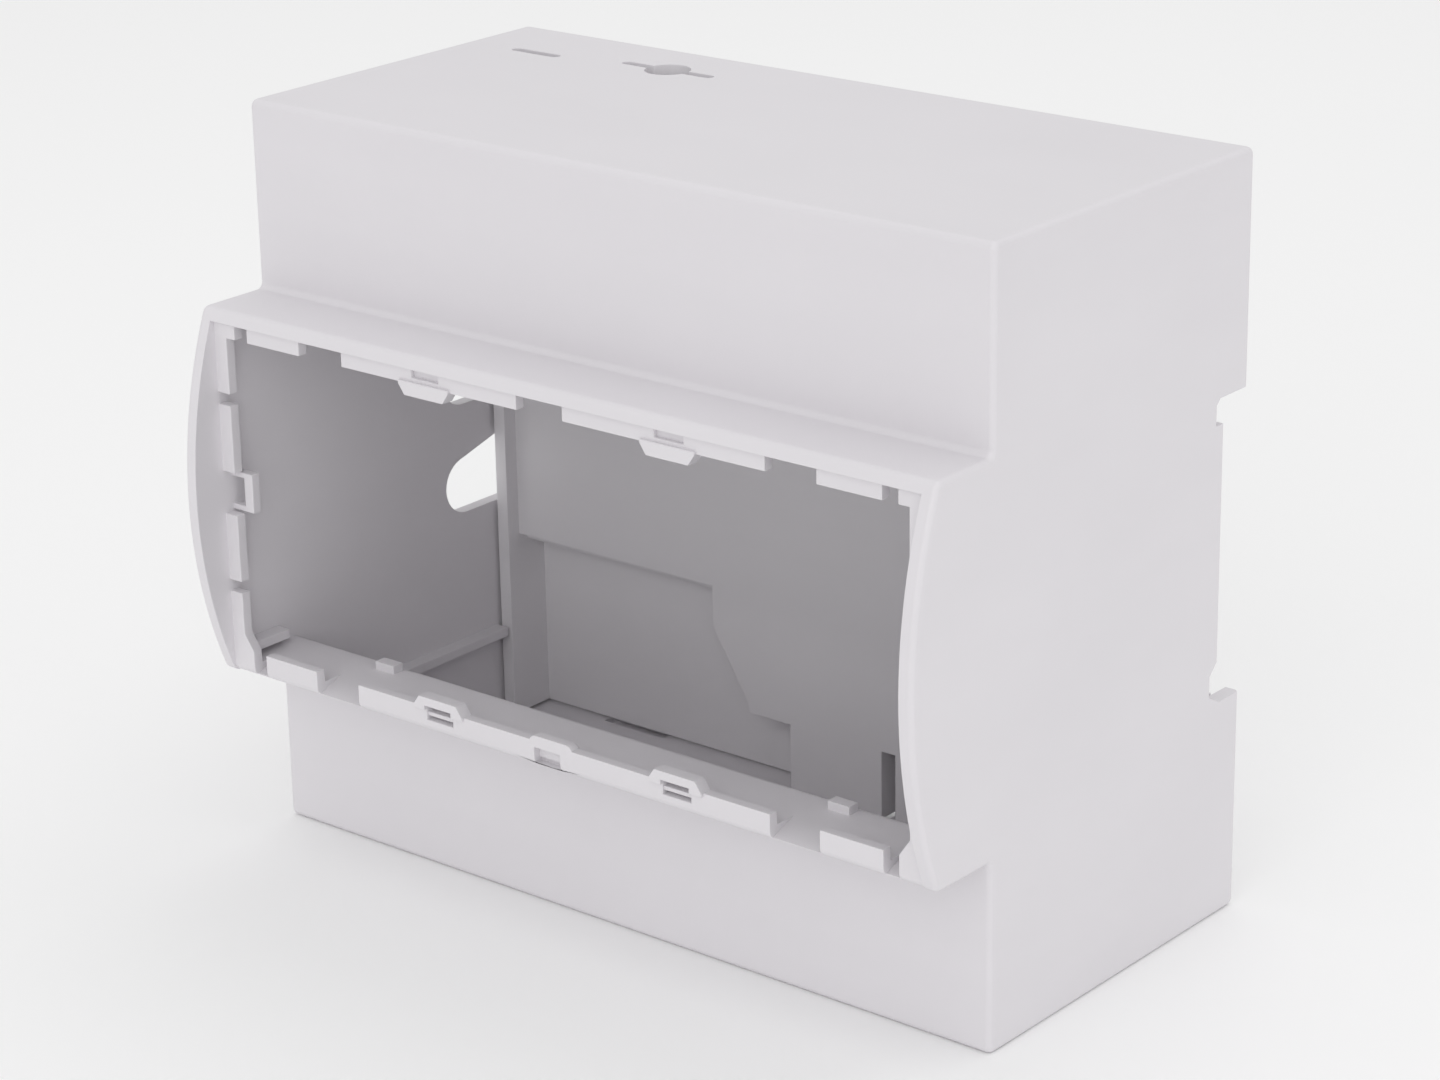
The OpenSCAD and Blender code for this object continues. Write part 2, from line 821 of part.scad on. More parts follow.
// The hook over the rail's lower edge in Y and Z, slanted behind so that it snaps over the rail
module grip_outline() {
    slope = latch_back - grip_y - grip_lead;
    polygon([
        [stem_back - bite, grip_low],
        [latch_back, grip_low],
        [latch_back, latch_top - slope],
        [grip_y + grip_lead, latch_top],
        [grip_y, latch_top],
        [grip_y, channel_lo],
        [stem_back - bite, channel_lo]
    ]);
}

// The sliding foot: stem, neck, hook and spring arms in one moulding
module rail_latch() {
    color([0.78, 0.78, 0.79]) translate([latch_x, 0, 0]) {
        block([-stem_half, stem_y, latch_low], [stem_half, stem_back, channel_lo]);
        along_x(-stem_half, stem_half) grip_outline();
        difference() {
            block([-neck_half, stem_back - bite, latch_low], [neck_half, latch_back, grip_low + bite]);
            pull_hole();
        }
        along_y(stem_y, stem_back) {
            arm_outline();
            mirror([1, 0]) arm_outline();
        }
    }
}

// A recess in the latch's back for the blade that pulls it down
module pull_hole() {
    low = latch_low + pull_rim;
    half = neck_half - pull_rim;
    block([-half, stem_back, low], [half, latch_back + past, low + pull_h]);
}

housing();
base();
rail_latch();
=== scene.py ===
"""Looks of a modular electronics enclosure: softened mouldings, plastic finishes, studio and camera."""

import logging
import math
from collections.abc import Callable
from dataclasses import dataclass, field
from enum import Enum
from typing import Any, NamedTuple

import bpy
from mathutils import Matrix, Vector


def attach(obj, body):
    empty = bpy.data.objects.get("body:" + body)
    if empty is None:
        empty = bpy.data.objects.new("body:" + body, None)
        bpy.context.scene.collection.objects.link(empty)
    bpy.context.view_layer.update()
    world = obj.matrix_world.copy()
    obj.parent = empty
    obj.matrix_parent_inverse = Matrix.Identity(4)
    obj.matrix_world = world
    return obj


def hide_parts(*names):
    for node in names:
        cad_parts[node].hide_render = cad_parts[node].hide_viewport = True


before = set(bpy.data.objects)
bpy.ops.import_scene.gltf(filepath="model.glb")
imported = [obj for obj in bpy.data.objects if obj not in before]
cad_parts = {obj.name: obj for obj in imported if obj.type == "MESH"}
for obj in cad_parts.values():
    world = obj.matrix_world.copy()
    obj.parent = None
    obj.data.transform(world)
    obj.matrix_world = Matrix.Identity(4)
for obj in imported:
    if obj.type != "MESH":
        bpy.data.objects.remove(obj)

LOG = logging.getLogger("enclosure")
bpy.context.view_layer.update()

# One millimetre, in metres
MM = 0.001
# Corners closer than this are merged, in metres
MERGE_GAP = 0.001 * MM
# Faces that turn by less than this from one to the next are joined
FLAT_ANGLE = math.radians(0.4)
# Faces that turn by more than this have an edge between them
CREASE_ANGLE = math.radians(35)
# Places closer than this count as one, in millimetres
CLOSE = 0.01
# Decimal places of the grid that corners are put on, in metres
GRID_DIGITS = 7
# Straight steps in a rounded edge, in a whole circle and in the edge of the lower lip
ROUND_STEPS = 5
HOLE_STEPS = 32
LIP_STEPS = 4
# Places of a Mix node's two colours among its inputs, and of its colour among its outputs
MIX_DARK = 6
MIX_LIGHT = 7
MIX_COLOUR = 2

# A corner of an outline, two limits, a place, a colour, a node's inputs and a test of a face or an edge
Point = tuple[float, float]
Span = tuple[float, float]
Spot = tuple[float, float, float]
Colour = tuple[float, float, float]
Inputs = dict[str | int, Any]
Chooser = Callable[[Vector, Vector], bool]


class Axis(Enum):
    """A direction of the shared frame, by its place in a vector."""

    X = 0
    Y = 1
    Z = 2

    @property
    def vector(self) -> Vector:
        """The axis as a unit vector."""
        return Vector(float(k == self.value) for k in range(3))


class Side(Enum):
    """A side of the enclosure's middle plane, by the sign of X."""

    LEFT = -1
    RIGHT = 1

    def span(self, near_end: float, far_end: float) -> Span:
        """Places two distances from the middle plane on this side, the lower place first."""
        low, high = sorted((self.value * near_end, self.value * far_end))
        return low, high


class Join(Enum):
    """What a tool does to a piece, by the names of the Boolean modifier's ways."""

    WELD = "UNION"
    CARVE = "DIFFERENCE"


class Element(Enum):
    """What is selected in edit mode, by the names of the select modes."""

    EDGE = "EDGE"
    FACE = "FACE"


class Sum(Enum):
    """What a Math node works out, by the names of its operations."""

    ADD = "ADD"
    SUBTRACT = "SUBTRACT"
    MULTIPLY = "MULTIPLY"


class Effect(Enum):
    """The surface effects that the finishes share, by the names of their node groups."""

    GRAIN = "moulded_grain"
    TONE = "melt_tone"
    RUB = "handling_rub"


@dataclass(frozen=True)
class Noise:
    """How a noise texture is built up."""

    detail: float = 2.0
    roughness: float = 0.5
    distortion: float = 0.0


@dataclass
class Wiring:
    """Adds nodes to a node tree and links them."""

    tree: bpy.types.NodeTree

    def add(self, kind: str, inputs: Inputs | None = None, **settings: Any) -> bpy.types.Node:
        """Adds one node.

        Args:
            kind: The node's type name.
            inputs: Values or linked sockets for its inputs, by the inputs' names or places.
            settings: Values for the node's own properties.

        Returns:
            The new node.
        """
        node = self.tree.nodes.new(kind)
        for name, value in settings.items():
            setattr(node, name, value)
        self.feed(node, inputs or {})
        return node

    def feed(self, node: bpy.types.Node, inputs: Inputs) -> None:
        """Sets inputs of a node, or links sockets to them.

        Args:
            node: The node.
            inputs: Values or linked sockets, by the inputs' names or places.
        """
        for key, value in inputs.items():
            if isinstance(value, bpy.types.NodeSocket):
                self.tree.links.new(value, node.inputs[key])
            else:
                node.inputs[key].default_value = value

    def math(self, operation: Sum, first: Any, second: Any) -> bpy.types.NodeSocket:
        """Adds a Math node with two values or sockets, and gives the socket with its outcome."""
        return self.add("ShaderNodeMath", {0: first, 1: second}, operation=operation.value).outputs[0]

    def noise(self, place: bpy.types.NodeSocket, scale: Any, kind: Noise) -> bpy.types.NodeSocket:
        """Adds a noise texture.

        Args:
            place: The socket with the coordinates that it reads.
            scale: Its scale, or the socket that gives it.
            kind: How it is built up.

        Returns:
            The socket with the noise.
        """
        inputs = {
            "Vector": place,
            "Scale": scale,
            "Detail": kind.detail,
            "Roughness": kind.roughness,
            "Distortion": kind.distortion,
        }
        return self.add("ShaderNodeTexNoise", inputs).outputs["Fac"]

    def spread(
        self, value: bpy.types.NodeSocket, limits: Span, ends: tuple[Any, Any] = (0.0, 1.0)
    ) -> bpy.types.NodeSocket:
        """Adds a Map Range node.

        Args:
            value: The socket that it reads.
            limits: The values between which it rises.
            ends: What it gives at these limits, as values or sockets.

        Returns:
            The socket with the outcome.
        """
        inputs = {
            "Value": value,
            "From Min": limits[0],
            "From Max": limits[1],
            "To Min": ends[0],
            "To Max": ends[1],
        }
        return self.add("ShaderNodeMapRange", inputs).outputs["Result"]


def new_material(name: str) -> tuple[bpy.types.Material, Wiring, bpy.types.Node]:
    """Makes a material with nodes.

    Args:
        name: The material's name.

    Returns:
        The material, its wiring and its shader.
    """
    material = bpy.data.materials.new(name)
    material.use_nodes = True
    return material, Wiring(material.node_tree), material.node_tree.nodes["Principled BSDF"]


@dataclass
class EffectGroups:
    """Builds the node groups of the shared effects, each of them once."""

    fine_grain: Noise = Noise(detail=3.0, roughness=0.6)
    sink_waves: Noise = Noise(detail=1.0, roughness=0.4)
    clouds: Noise = Noise(detail=4.0, roughness=0.55)
    streaks: Noise = Noise()
    streak_stretch: Spot = (0.25, 1.0, 3.0)
    even_share: float = 0.5
    tone_limits: Span = (0.35, 0.65)
    gloss_limits: Span = (0.3, 0.7)
    patches: Noise = Noise(detail=5.0, distortion=0.6)
    rub_limits: Span = (0.52, 0.72)
    built: dict[Effect, bpy.types.NodeTree] = field(default_factory=dict)

    def get(self, effect: Effect) -> bpy.types.NodeTree:
        """Gives an effect's node group, and builds it when it is first asked for.

        Args:
            effect: The effect.

        Returns:
            Its node group.
        """
        makers = {Effect.GRAIN: self.grain, Effect.TONE: self.tone, Effect.RUB: self.rub}
        if effect not in self.built:
            self.built[effect] = makers[effect]()
        return self.built[effect]

    @staticmethod
    def blank(effect: Effect, inputs: dict[str, str], outputs: dict[str, str]) -> tuple[Wiring, Any, Any]:
        """Makes an empty group with named sockets.

        Args:
            effect: The effect that names the group.
            inputs: The kinds of its input sockets, by name.
            outputs: The kinds of its output sockets, by name.

        Returns:
            The group's wiring, its input node's outputs and its output node.
        """
        tree = bpy.data.node_groups.new(effect.value, "ShaderNodeTree")
        for sockets, way in ((inputs, "INPUT"), (outputs, "OUTPUT")):
            for name, kind in sockets.items():
                tree.interface.new_socket(name, in_out=way, socket_type=f"NodeSocket{kind}")
        wiring = Wiring(tree)
        return wiring, wiring.add("NodeGroupInput").outputs, wiring.add("NodeGroupOutput")

    def grain(self) -> bpy.types.NodeTree:
        """Builds the fine spark-eroded grain of the mould over its slow sink waves.

        Returns:
            The new group.
        """
        wiring, given, made = self.blank(
            Effect.GRAIN,
            {"Vector": "Vector", "Grain Scale": "Float", "Wave Scale": "Float", "Wave Share": "Float"},
            {"Height": "Float"},
        )
        fine = wiring.noise(given["Vector"], given["Grain Scale"], self.fine_grain)
        slow = wiring.noise(given["Vector"], given["Wave Scale"], self.sink_waves)
        wave = wiring.math(Sum.MULTIPLY, slow, given["Wave Share"])
        wiring.feed(made, {"Height": wiring.math(Sum.ADD, fine, wave)})
        return wiring.tree

    def tone(self) -> bpy.types.NodeTree:
        """Builds the faint clouds and flow streaks of the melt, in colour and roughness.

        Returns:
            The new group.
        """
        wiring, given, made = self.blank(
            Effect.TONE,
            {
                "Vector": "Vector",
                "Scale": "Float",
                "Light": "Color",
                "Dark": "Color",
                "Smooth": "Float",
                "Rough": "Float",
            },
            {"Color": "Color", "Roughness": "Float"},
        )
        stretched = wiring.add(
            "ShaderNodeVectorMath",
            {0: given["Vector"], 1: self.streak_stretch},
            operation=Sum.MULTIPLY.value,
        )
        clouds = wiring.noise(given["Vector"], given["Scale"], self.clouds)
        streaks = wiring.noise(stretched.outputs["Vector"], given["Scale"], self.streaks)
        mixed = wiring.math(Sum.MULTIPLY, wiring.math(Sum.ADD, clouds, streaks), self.even_share)
        mask = wiring.spread(mixed, self.tone_limits)
        colour = wiring.add(
            "ShaderNodeMix",
            {"Factor": mask, MIX_DARK: given["Dark"], MIX_LIGHT: given["Light"]},
            data_type="RGBA",
        )
        gloss = wiring.spread(clouds, self.gloss_limits, (given["Smooth"], given["Rough"]))
        wiring.feed(made, {"Color": colour.outputs[MIX_COLOUR], "Roughness": gloss})
        return wiring.tree

    def rub(self) -> bpy.types.NodeTree:
        """Builds the soft patches where handling has polished the surface a little.

        Returns:
            The new group.
        """
        wiring, given, made = self.blank(
            Effect.RUB,
            {"Vector": "Vector", "Scale": "Float", "Roughness": "Float", "Polish": "Float"},
            {"Roughness": "Float"},
        )
        patches = wiring.noise(given["Vector"], given["Scale"], self.patches)
        loss = wiring.math(Sum.MULTIPLY, wiring.spread(patches, self.rub_limits), given["Polish"])
        wiring.feed(made, {"Roughness": wiring.math(Sum.SUBTRACT, given["Roughness"], loss)})
        return wiring.tree


@dataclass(frozen=True)
class MouldedPlastic:
    """A satin moulded plastic with a fine grain, faint melt clouds and handling marks."""

    name: str
    light: Colour
    dark: Colour
    smooth: float
    rough: float
    tone_scale: float = 38.0
    grain_scale: float = 3200.0
    grain_height: float = 0.012 * MM
    grain_strength: float = 0.35
    wave_scale: float = 55.0
    wave_share: float = 2.5
    rub_scale: float = 26.0
    polish: float = 0.06

    def material(self, groups: EffectGroups) -> bpy.types.Material:
        """Builds the material.

        Args:
            groups: The shared effects.

        Returns:
            The new material.
        """
        material, wiring, shader = new_material(self.name)
        place = wiring.add("ShaderNodeTexCoord").outputs["Object"]
        tone = wiring.add(
            "ShaderNodeGroup",
            {
                "Vector": place,
                "Scale": self.tone_scale,
                "Light": (*self.light, 1.0),
                "Dark": (*self.dark, 1.0),
                "Smooth": self.smooth,
                "Rough": self.rough,
            },
            node_tree=groups.get(Effect.TONE),
        )
        rub = wiring.add(
            "ShaderNodeGroup",
            {
                "Vector": place,
                "Scale": self.rub_scale,
                "Roughness": tone.outputs["Roughness"],
                "Polish": self.polish,
            },
            node_tree=groups.get(Effect.RUB),
        )
        grain = wiring.add(
            "ShaderNodeGroup",
            {
                "Vector": place,
                "Grain Scale": self.grain_scale,
                "Wave Scale": self.wave_scale,
                "Wave Share": self.wave_share,
            },
            node_tree=groups.get(Effect.GRAIN),
        )
        bump = wiring.add(
            "ShaderNodeBump",
            {
                "Strength": self.grain_strength,
                "Distance": self.grain_height,
                "Height": grain.outputs["Height"],
            },
        )
        dress = {
            "Base Color": tone.outputs["Color"],
            "Roughness": rub.outputs["Roughness"],
            "Normal": bump.outputs["Normal"],
        }
        wiring.feed(shader, dress)
        return material


def take_up(piece: bpy.types.Object) -> None:
    """Makes one object the only selected and active one.

    Args:
        piece: The object.
    """
    bpy.ops.object.select_all(action="DESELECT")
    piece.select_set(True)
    bpy.context.view_layer.objects.active = piece


def snap(piece: bpy.types.Object) -> None:
    """Puts every corner on a very fine grid, so that faces meant to be level with each other are."""
    for corner in piece.data.vertices:
        corner.co = [round(value, GRID_DIGITS) for value in corner.co]


def slab(across: Span, deep: Span, tall: Span) -> bpy.types.Object:
    """Adds a cube and stretches it between its limits.

    Args:
        across: Its limits along X, in millimetres, the lower one first.
        deep: Its limits along Y.
        tall: Its limits along Z.

    Returns:
        The new slab, at the origin with its place in its mesh.
    """
    spans = (across, deep, tall)
    bpy.ops.object.select_all(action="DESELECT")
    bpy.ops.mesh.primitive_cube_add(size=1.0, location=[(low + high) / 2 * MM for low, high in spans])
    piece = bpy.context.object
    piece.scale = [(high - low) * MM for low, high in spans]
    bpy.ops.object.transform_apply(location=True, rotation=True, scale=True)
    snap(piece)
    return piece


def prism(outline: list[Point], axis: Axis, span: Span) -> bpy.types.Object:
    """Adds a filled ring, moves its corners onto an outline and extrudes it.

    Args:
        outline: The corners in the two directions across the axis, in millimetres.
        axis: The direction of the extrusion.
        span: Where it starts and ends along the axis.

    Returns:
        The new prism, at the origin with its place in its mesh.
    """
    low, high = span
    bpy.ops.object.select_all(action="DESELECT")
    bpy.ops.mesh.primitive_circle_add(
        vertices=len(outline), radius=MM, fill_type="NGON", location=(0.0, 0.0, 0.0)
    )
    piece = bpy.context.object
    across = [k for k in range(3) if k != axis.value]
    for corner, point in zip(piece.data.vertices, outline):
        corner.co[axis.value] = low * MM
        for k, value in zip(across, point):
            corner.co[k] = value * MM
    bpy.ops.object.mode_set(mode="EDIT")
    bpy.ops.mesh.select_all(action="SELECT")
    bpy.ops.mesh.extrude_region_move(TRANSFORM_OT_translate={"value": axis.vector * (high - low) * MM})
    bpy.ops.mesh.select_all(action="SELECT")
    bpy.ops.mesh.normals_make_consistent(inside=False)
    bpy.ops.object.mode_set(mode="OBJECT")
    snap(piece)
    return piece


def arc(centre: Point, radius: float, start: float, end: float, steps: int) -> list[Point]:
    """Gives points along an arc.

    Args:
        centre: The arc's centre, in millimetres.
        radius: Its radius.
        start: The angle where it starts, in degrees.
        end: The angle where it ends.
        steps: How many straight steps it has.

    Returns:
        The points, both ends included.
    """
    angles = [math.radians(start + (end - start) * k / steps) for k in range(steps + 1)]
    return [(centre[0] + radius * math.cos(a), centre[1] + radius * math.sin(a)) for a in angles]


def combine(piece: bpy.types.Object, tools: list[bpy.types.Object], way: Join) -> None:
    """Joins tools to a piece, or cuts them out of it, and removes them.

    Args:
        piece: The piece that is kept.
        tools: The shapes that are joined or cut out.
        way: Which of the two is done.
    """
    take_up(piece)
    for tool in tools:
        step = piece.modifiers.new("shape", "BOOLEAN")
        step.operation = way.value
        step.solver = "EXACT"
        step.object = tool
        bpy.ops.object.modifier_apply(modifier=step.name)
        bpy.data.objects.remove(tool, do_unlink=True)


def deselect(piece: bpy.types.Object, kind: Element) -> None:
    """Takes a piece up, with nothing of its mesh selected, and leaves it in object mode.

    Args:
        piece: The object that is edited next.
        kind: What is selected in it next.
    """
    take_up(piece)
    bpy.ops.object.mode_set(mode="EDIT")
    bpy.ops.mesh.select_mode(type=kind.value)
    bpy.ops.mesh.select_all(action="DESELECT")
    bpy.ops.object.mode_set(mode="OBJECT")


def edit_faces(piece: bpy.types.Object, chosen: Chooser) -> None:
    """Enters edit mode with some faces selected.

    Args:
        piece: The object to edit.
        chosen: Tells from a face's middle, in millimetres, and its normal whether it is selected.
    """
    deselect(piece, Element.FACE)
    for face in piece.data.polygons:
        face.select = chosen(face.center / MM, face.normal)
    bpy.ops.object.mode_set(mode="EDIT")


def edit_edges(piece: bpy.types.Object, chosen: Chooser) -> None:
    """Enters edit mode with some edges selected.

    Args:
        piece: The object to edit.
        chosen: Tells from an edge's two ends, in millimetres, whether it is selected.
    """
    deselect(piece, Element.EDGE)
    corners = piece.data.vertices
    for edge in piece.data.edges:
        edge.select = chosen(*(corners[k].co / MM for k in edge.vertices))
    bpy.ops.object.mode_set(mode="EDIT")


def round_edges(piece: bpy.types.Object, chosen: Chooser, reach: float) -> None:
    """Rounds some edges of a piece.

    Args:
        piece: The object to edit.
        chosen: Tells from an edge's two ends, in millimetres, whether it is rounded.
        reach: How far the rounding reaches from the edge, in millimetres.
    """
    edit_edges(piece, chosen)
    bpy.ops.mesh.bevel(offset=reach * MM, segments=ROUND_STEPS, affect="EDGES", clamp_overlap=False)
    bpy.ops.object.mode_set(mode="OBJECT")


def near(value: float, *places: float) -> bool:
    """Tells whether a value lies at one of some places."""
    return any(abs(value - place) < CLOSE for place in places)


def crosswise(depths: tuple[float, ...], heights: tuple[float, ...]) -> Chooser:
    """Gives a test for edges that run across the whole width.

    Args:
        depths: Where such edges lie along Y, in millimetres.
        heights: Where they lie along Z.

    Returns:
        The test, which takes an edge's two ends.
    """

    def runs_across(one: Vector, other: Vector) -> bool:
        """Tells whether both ends lie at such a place, on opposite sides of the middle plane."""
        placed = all(near(end.y, *depths) and near(end.z, *heights) for end in (one, other))
        return placed and near(one.x, -other.x)

    return runs_across


@dataclass
class HousingSizes:
    """The driving sizes that all parts of the housing share, in millimetres."""

    half: float = 52.8
    front: float = -17.2
    rear: float = 31.0
    height: float = 90.0
    wall: float = 1.8
    nose_low: float = 22.5
    nose_high: float = 67.5
    nose_wall: float = 1.5
    lip: float = -26.5
    tip: float = -30.98
    # How far a shape goes into what it is joined to
    bite: float = 0.4

    @property
    def wall_x(self) -> float:
        """Where the inside of the right wall is."""
        return self.half - self.wall

    @property
    def floor(self) -> float:
        """How high the floor of the nose is."""
        return self.nose_low + self.nose_wall

    @property
    def ceiling(self) -> float:
        """How high the ceiling of the nose is."""
        return self.nose_high - self.nose_wall

    @property
    def middle(self) -> float:
        """Half-way up the nose."""
        return (self.nose_low + self.nose_high) / 2


@dataclass
class HousingShell(HousingSizes):
    """The stepped outer form with its curved cheeks, and the room inside it, in millimetres."""

    curve_steps: int = 40
    block_round: float = 0.9
    side_round: float = 0.7
    lip_round: float = 0.67
    lip_edge: float = 1.0
    step_round: float = 0.8
    inner_round: float = 1.8
    # How far a cutting shape goes past what it cuts
    past: float = 2.0

    def build(self) -> bpy.types.Object:
        """Models the hollow shell.

        Returns:
            The shell, open in front and behind.
        """
        shell = slab((-self.half, self.half), (self.front, self.rear), (0.0, self.height))
        self.draw_nose(shell, self.front, (self.nose_low, self.nose_high), self.lip)
        self.curve_cheeks(shell)
        self.round_outside(shell)
        snap(shell)
        combine(shell, [self.room(), self.lip_room()], Join.CARVE)
        return shell

    @staticmethod
    def draw_nose(block: bpy.types.Object, front: float, heights: Span, reach: float) -> None:
        """Marks a band off on a block's front face and draws it out.

        Args:
            block: The block.
            front: Where its front face is.
            heights: The band's lower and upper edge.
            reach: Where the drawn-out face ends.
        """
        for height in heights:
            edit_faces(block, lambda middle, normal: near(middle.y, front) and normal.y < 0)
            bpy.ops.mesh.bisect(plane_co=(0.0, 0.0, height * MM), plane_no=Axis.Z.vector)
            bpy.ops.object.mode_set(mode="OBJECT")
        middle_height = sum(heights) / 2
        edit_faces(block, lambda middle, normal: near(middle.y, front) and near(middle.z, middle_height))
        bpy.ops.mesh.extrude_region_move(TRANSFORM_OT_translate={"value": (0.0, (reach - front) * MM, 0.0)})
        bpy.ops.object.mode_set(mode="OBJECT")

    def curve_cheeks(self, shell: bpy.types.Object) -> None:
        """Replaces the nose's flat front with one spun round the cheeks' curve.

        Args:
            shell: The stepped block.
        """
        rise = self.middle - self.nose_low
        bulge = self.lip - self.tip
        radius = (rise * rise + bulge * bulge) / (2 * bulge)
        edit_faces(shell, lambda middle, normal: near(middle.y, self.lip))
        bpy.ops.mesh.delete(type="ONLY_FACE")
        bpy.ops.object.mode_set(mode="OBJECT")
        edit_edges(shell, crosswise((self.lip,), (self.nose_low,)))
        bpy.ops.mesh.spin(
            steps=self.curve_steps,
            angle=2 * math.asin(rise / radius),
            center=(0.0, (self.tip + radius) * MM, self.middle * MM),
            axis=Axis.X.vector,
        )
        bpy.ops.mesh.select_all(action="SELECT")
        bpy.ops.mesh.remove_doubles(threshold=MERGE_GAP)
        bpy.ops.object.mode_set(mode="OBJECT")
        for side in Side:
            cheek = side.value * self.half
            edit_edges(
                shell,
                lambda *ends: all(near(end.x, cheek) and end.y < self.lip + CLOSE for end in ends),
            )
            bpy.ops.mesh.edge_face_add()
            bpy.ops.object.mode_set(mode="OBJECT")
        take_up(shell)
        bpy.ops.object.mode_set(mode="EDIT")
        bpy.ops.mesh.select_all(action="SELECT")
        bpy.ops.mesh.dissolve_limited(angle_limit=FLAT_ANGLE)
        bpy.ops.mesh.select_all(action="SELECT")
        bpy.ops.mesh.normals_make_consistent(inside=False)
        bpy.ops.object.mode_set(mode="OBJECT")

    def round_outside(self, shell: bpy.types.Object) -> None:
        """Rounds the lips, the steps, the block's long edges and the outlines of both sides.

        Args:
            shell: The stepped form with curved cheeks.
        """
        nose = (self.nose_low, self.nose_high)
        ends = (0.0, self.height)
        runs = (
            ((self.lip,), nose, self.lip_round),
            ((self.front,), nose, self.step_round),
            ((self.front, self.rear), ends, self.block_round),
        )
        for depths, heights, reach in runs:
            round_edges(shell, crosswise(depths, heights), reach)
        round_edges(
            shell,
            lambda one, other: near(one.x, other.x) and near(abs(one.x), self.half),
            self.side_round,
        )

    def room(self) -> bpy.types.Object:
        """Models the room inside the shell, with its way out through the nose.

        Returns:
            The room as a solid.
        """
        front = self.front + self.wall
        deep = (front, self.rear + self.past)
        tall = (self.wall, self.height - self.wall)
        heights = (self.floor, self.ceiling)
        room = slab((-self.wall_x, self.wall_x), deep, tall)
        self.draw_nose(room, front, heights, self.tip - self.past)
        round_edges(room, crosswise((front,), heights), self.inner_round)
        snap(room)
        return room

    def lip_room(self) -> bpy.types.Object:
        """Models the room between the cheeks ahead of the lower lip, which leaves the lip's edge round.

        Returns:
            The room as a solid.
        """
        ahead = self.tip - self.past
        below = self.nose_low - self.past
        above = self.floor + self.past
        root = self.lip + self.lip_edge
        outline = [(ahead, below), (root, below)]
        outline += arc((root, self.nose_low + self.lip_edge), self.lip_edge, 270.0, 180.0, LIP_STEPS)
        outline += [(self.lip, above), (ahead, above)]
        return prism(outline, Axis.X, (-self.wall_x, self.wall_x))


